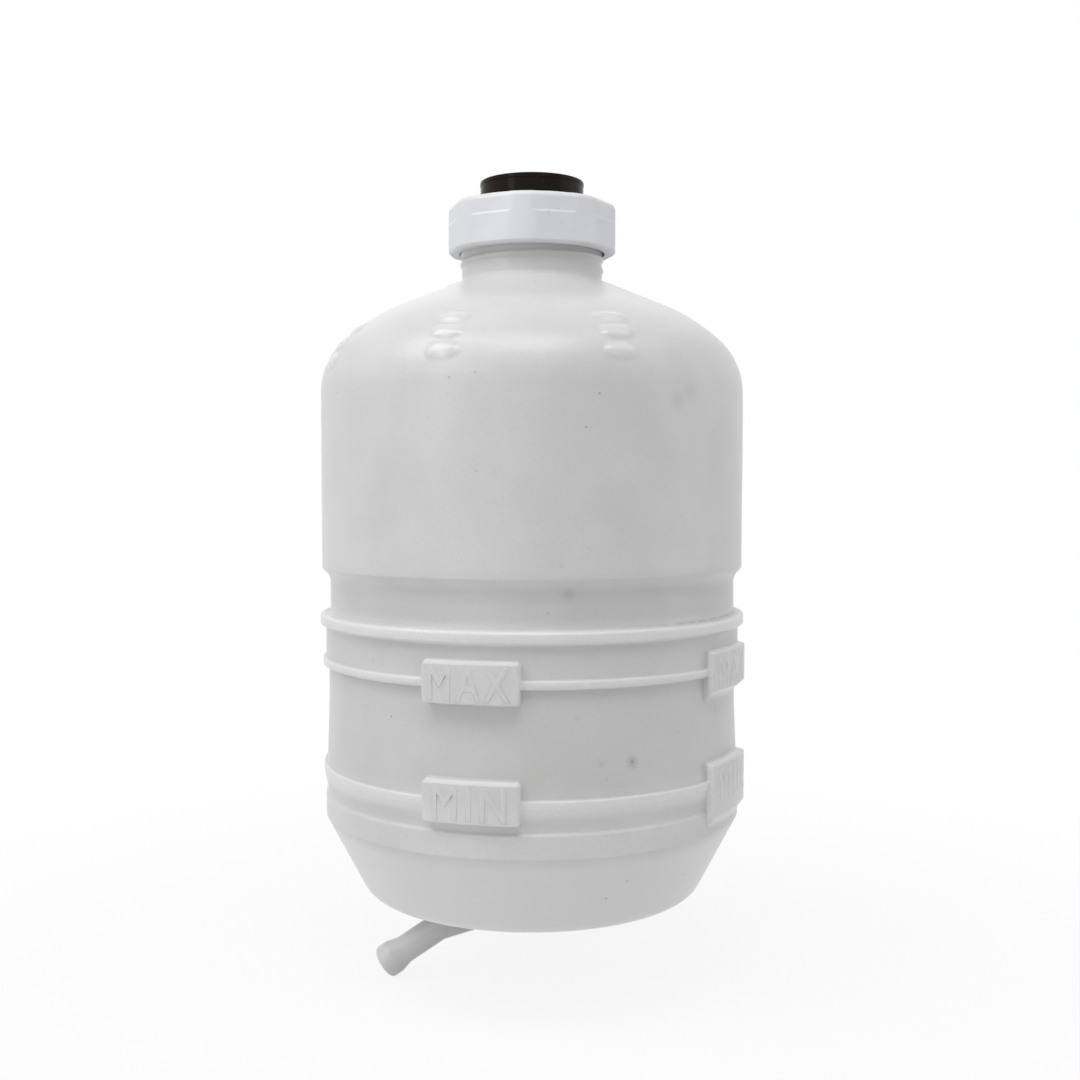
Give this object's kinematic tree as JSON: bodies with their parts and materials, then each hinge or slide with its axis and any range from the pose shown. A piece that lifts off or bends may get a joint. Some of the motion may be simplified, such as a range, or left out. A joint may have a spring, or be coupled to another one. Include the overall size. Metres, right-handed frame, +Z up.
{
  "type": "coolant reservoir",
  "caption": "Round moulded coolant expansion tank with a screw-on pressure cap, level marks, a strap groove and a hose spigot under its base.",
  "frame": {"origin": "on the tank's axis, inside the strap groove, 110 mm above the flat base", "axes": "+Z up along the tank's axis towards the cap; +X away from the side that the hose spigot points to; -Y towards the front level plates"},
  "size_m": [0.1532, 0.154, 0.2907],
  "materials": {
    "tank_plastic": "translucent natural polypropylene, satin from the mould",
    "spigot_plastic": "natural polypropylene, satin",
    "ring_plastic": "white plastic, satin",
    "dark_plastic": "dark brown-black plastic, half gloss",
    "seal_rubber": "black rubber",
    "valve_brass": "pressed brass",
    "spring_steel": "spring wire"
  },
  "bodies": {
    "tank": {"tank_body": "tank_plastic", "outlet_spigot": "spigot_plastic"},
    "cap_insert": {"neck_gasket": "seal_rubber", "valve_housing": "dark_plastic", "valve_cover": "dark_plastic", "valve_cage": "dark_plastic", "spring_cup": "valve_brass", "pressure_spring": "spring_steel"},
    "screw_ring": {"lock_ring": "ring_plastic"},
    "pressure_valve": {"pressure_seal": "seal_rubber", "pressure_plate": "valve_brass", "vacuum_spring": "spring_steel"},
    "vacuum_valve": {"vacuum_poppet": "valve_brass", "vacuum_seal": "seal_rubber", "vacuum_retainer": "spring_steel"}
  },
  "joints": [
    {"name": "cap_lift", "type": "slide", "parent": "tank", "child": "cap_insert", "axis": [0, 0, 1], "range_m": [0, 0.012]},
    {"name": "ring_turn", "type": "hinge", "parent": "cap_insert", "child": "screw_ring", "pos_m": [0, 0, 0.13], "axis": [0, 0, 1], "range_deg": [0, 1080]},
    {"name": "pressure_lift", "type": "slide", "parent": "cap_insert", "child": "pressure_valve", "axis": [0, 0, 1], "range_m": [0, 0.003], "stiffness_N_per_m": 3500, "springref_m": -0.008, "deforming": ["pressure_spring"]},
    {"name": "vacuum_drop", "type": "slide", "parent": "pressure_valve", "child": "vacuum_valve", "axis": [0, 0, -1], "range_m": [0, 0.0015], "stiffness_N_per_m": 200, "springref_m": -0.002, "deforming": ["vacuum_spring"]}
  ],
  "couplings": [
    {"joint": "cap_lift", "follows": "ring_turn", "m_per_rad": 0.00063662}
  ]
}
